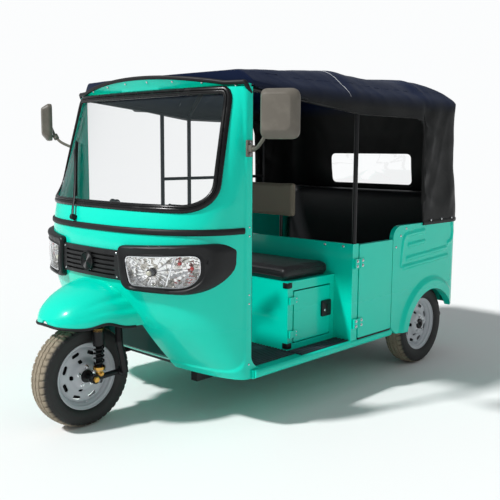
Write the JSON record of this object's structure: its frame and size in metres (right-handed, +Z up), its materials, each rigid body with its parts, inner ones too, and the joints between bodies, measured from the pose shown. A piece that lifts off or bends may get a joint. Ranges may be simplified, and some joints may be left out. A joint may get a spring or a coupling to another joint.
{
  "type": "electric passenger tricycle",
  "caption": "Electric passenger tricycle with a steered front wheel, a curved cab shell, an open driver's cab, a rear passenger bench and a canvas roof on tube bows.",
  "frame": {"origin": "on the ground, under the middle of the vehicle's box", "axes": "+Z up, the vehicle faces -Y, +X is its left side"},
  "size_m": [1.9052, 2.651, 1.7168],
  "materials": {
    "teal_paint": "glossy",
    "black_paint": "satin",
    "floor_mat": "ribbed",
    "glass": "clear",
    "rubber_trim": "satin",
    "black_plastic": "glossy",
    "lamp_lens": "clear",
    "mirror_shell": "grained",
    "battery_case": "matte",
    "vinyl": "satin",
    "canvas": "satin",
    "tail_lens": "glossy",
    "cast_metal": "painted",
    "motor_case": "cast",
    "spring_steel": "satin",
    "damper": "satin",
    "tyre": "matte",
    "wheel_steel": "silver",
    "plated_steel": "zinc yellow"
  },
  "bodies": {
    "body": {"chassis_frame": "black_paint", "steering_head": "black_paint", "floor_pan": "floor_mat", "front_shell": "teal_paint", "wheel_housing": "black_paint", "front_mudguard": "teal_paint", "roof_header": "teal_paint", "windscreen_glass": "glass", "windscreen_gasket": "rubber_trim", "lamp_bezels": "black_plastic", "headlamps": "lamp_lens", "grille": "black_plastic", "belt_trim": "rubber_trim", "wiper": "black_paint", "mirror_left": "mirror_shell", "mirror_right": "mirror_shell", "dashboard": "black_plastic", "seat_box": "teal_paint", "battery_pack": "battery_case", "driver_cushion": "vinyl", "driver_backrest": "vinyl", "partition": "teal_paint", "passenger_seat_base": "teal_paint", "passenger_cushion": "vinyl", "passenger_backrest": "vinyl", "canopy_frame": "black_paint", "cab_rails": "black_paint", "canopy": "canvas", "side_panel_right": "teal_paint", "quarter_left": "teal_paint", "quarter_right": "teal_paint", "rear_panel": "teal_paint", "tail_lamps": "tail_lens", "rear_bumper": "black_paint", "rear_axle": "cast_metal", "drive_motor": "motor_case", "leaf_springs": "spring_steel", "rear_shocks": "damper"},
    "steering": {"steering_fork": "black_paint", "link_arms": "plated_steel", "front_shocks": "damper", "front_springs": "spring_steel", "handlebar": "black_paint"},
    "front_wheel_body": {"front_tyre": "tyre", "front_wheel": "wheel_steel"},
    "rear_left_wheel_body": {"rear_left_tyre": "tyre", "rear_left_wheel": "wheel_steel"},
    "rear_right_wheel_body": {"rear_right_tyre": "tyre", "rear_right_wheel": "wheel_steel"},
    "passenger_door": {"side_door_left": "teal_paint"},
    "box_door": {"seat_box_door": "teal_paint"}
  },
  "joints": [
    {"name": "steering", "type": "hinge", "parent": "body", "child": "steering", "pos_m": [0, -1.1345, 0], "axis": [0, 0.309, 0.9511], "range_deg": [-40, 40]},
    {"name": "front_wheel_spin", "type": "hinge", "parent": "steering", "child": "front_wheel_body", "pos_m": [0, -1.0845, 0.241], "axis": [1, 0, 0], "continuous": true},
    {"name": "rear_left_wheel_spin", "type": "hinge", "parent": "body", "child": "rear_left_wheel_body", "pos_m": [0.5475, 0.9405, 0.241], "axis": [1, 0, 0], "continuous": true},
    {"name": "rear_right_wheel_spin", "type": "hinge", "parent": "body", "child": "rear_right_wheel_body", "pos_m": [-0.5475, 0.9405, 0.241], "axis": [1, 0, 0], "continuous": true},
    {"name": "passenger_door_hinge", "type": "hinge", "parent": "body", "child": "passenger_door", "pos_m": [0.662, 0.2005, 0.5], "axis": [0, 0, -1], "range_deg": [0, 100]},
    {"name": "box_door_hinge", "type": "hinge", "parent": "body", "child": "box_door", "pos_m": [0.543, -0.1948, 0.45], "axis": [0, 0, -1], "range_deg": [0, 95]}
  ]
}
